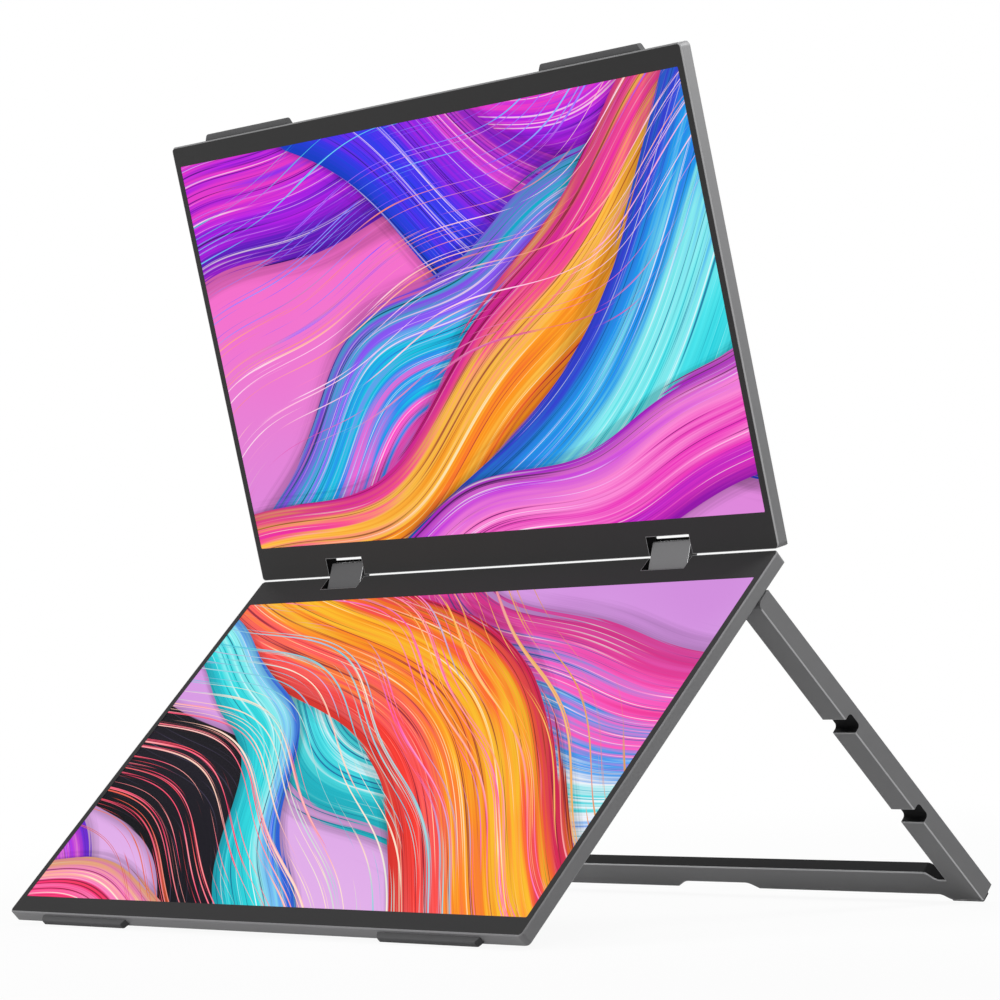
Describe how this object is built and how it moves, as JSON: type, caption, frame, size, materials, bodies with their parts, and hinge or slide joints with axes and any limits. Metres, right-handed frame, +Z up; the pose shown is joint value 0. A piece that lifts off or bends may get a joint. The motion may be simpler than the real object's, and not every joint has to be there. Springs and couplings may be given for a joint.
{
  "type": "laptop screen extender",
  "caption": "Stacked portable display: an upper screen on double-shaft hinges above a reclined lower screen, held up by a fold-out U-shaped rear stand.",
  "frame": {"origin": "on the table, under the middle of the whole, in the unfolded pose of use", "axes": "+X to the viewer's right, +Y from the viewer towards the stand, +Z up"},
  "size_m": [0.3524, 0.291, 0.3776],
  "materials": {
    "housing_metal": "satin anodised",
    "stand_metal": "satin anodised",
    "cover_plastic": "fine matte texture",
    "bezel_plastic": "matte",
    "panel_glass": "lit display",
    "backlight_plastic": "white tray",
    "board": "solder mask",
    "steel": "turned",
    "link_metal": "satin anodised",
    "strip_rubber": "matte",
    "button_plastic": "matte",
    "socket_steel": "plated"
  },
  "bodies": {
    "lower_screen": {"lower_rear_shell": "housing_metal", "lower_front_bezel": "bezel_plastic", "lower_display_panel": "panel_glass", "lower_backlight": "backlight_plastic", "lower_panel_board": "board", "lower_button_board": "board", "lower_hinge_bracket_left": "steel", "lower_hinge_bracket_right": "steel", "lower_hinge_shaft_left": "steel", "lower_hinge_shaft_right": "steel", "lower_edge_strip_left": "strip_rubber", "lower_edge_strip_right": "strip_rubber", "lower_rear_cover": "cover_plastic", "main_board": "board", "port_board": "board", "usb_c_socket_a": "socket_steel", "usb_c_socket_b": "socket_steel", "mini_hdmi_socket": "socket_steel", "headphone_socket": "button_plastic", "speaker_left": "button_plastic", "speaker_right": "button_plastic", "stand_bracket_left": "steel", "stand_bracket_right": "steel", "rear_cover_screw_1": "steel", "rear_cover_screw_2": "steel", "rear_cover_screw_3": "steel", "rear_cover_screw_4": "steel", "rear_cover_screw_5": "steel", "rear_cover_screw_6": "steel"},
    "hinge_links": {"hinge_link_left": "link_metal", "hinge_link_right": "link_metal"},
    "upper_screen": {"upper_rear_shell": "housing_metal", "upper_front_bezel": "bezel_plastic", "upper_display_panel": "panel_glass", "upper_backlight": "backlight_plastic", "upper_panel_board": "board", "upper_button_board": "board", "upper_hinge_bracket_left": "steel", "upper_hinge_bracket_right": "steel", "upper_hinge_shaft_left": "steel", "upper_hinge_shaft_right": "steel", "upper_edge_strip_left": "strip_rubber", "upper_edge_strip_right": "strip_rubber"},
    "stand": {"stand_frame": "stand_metal", "stand_pivot_pin_left": "steel", "stand_pivot_pin_right": "steel", "stand_foot_pad_left": "strip_rubber", "stand_foot_pad_right": "strip_rubber"},
    "lower_power_key": {"lower_power_button": "button_plastic"},
    "upper_power_key": {"upper_power_button": "button_plastic"},
    "menu_key": {"menu_rocker": "button_plastic"}
  },
  "joints": [
    {"name": "lower_hinge_fold", "type": "hinge", "parent": "lower_screen", "child": "hinge_links", "pos_m": [0, 0.01373, 0.15473], "axis": [1, 0, 0], "range_deg": [-29.5, 60.5]},
    {"name": "upper_hinge_fold", "type": "hinge", "parent": "hinge_links", "child": "upper_screen", "pos_m": [0, 0.01604, 0.16259], "axis": [1, 0, 0], "range_deg": [-29.5, 60.5]},
    {"name": "stand_fold", "type": "hinge", "parent": "lower_screen", "child": "stand", "pos_m": [0, 0.00333, 0.13543], "axis": [1, 0, 0], "range_deg": [-92, 0]},
    {"name": "lower_power_press", "type": "slide", "parent": "lower_screen", "child": "lower_power_key", "axis": [1, 0, 0], "range_m": [0, 0.0004], "stiffness_N_per_m": 1500},
    {"name": "upper_power_press", "type": "slide", "parent": "upper_screen", "child": "upper_power_key", "axis": [1, 0, 0], "range_m": [0, 0.0004], "stiffness_N_per_m": 1500},
    {"name": "menu_rocker_tilt", "type": "hinge", "parent": "lower_screen", "child": "menu_key", "pos_m": [-0.1612, -0.02293, 0.10923], "axis": [0, -0.6967, 0.7174], "range_deg": [-4, 4], "stiffness_Nm_per_rad": 0.3}
  ],
  "couplings": [
    {"joint": "lower_hinge_fold", "follows": "upper_hinge_fold", "ratio": 1}
  ]
}
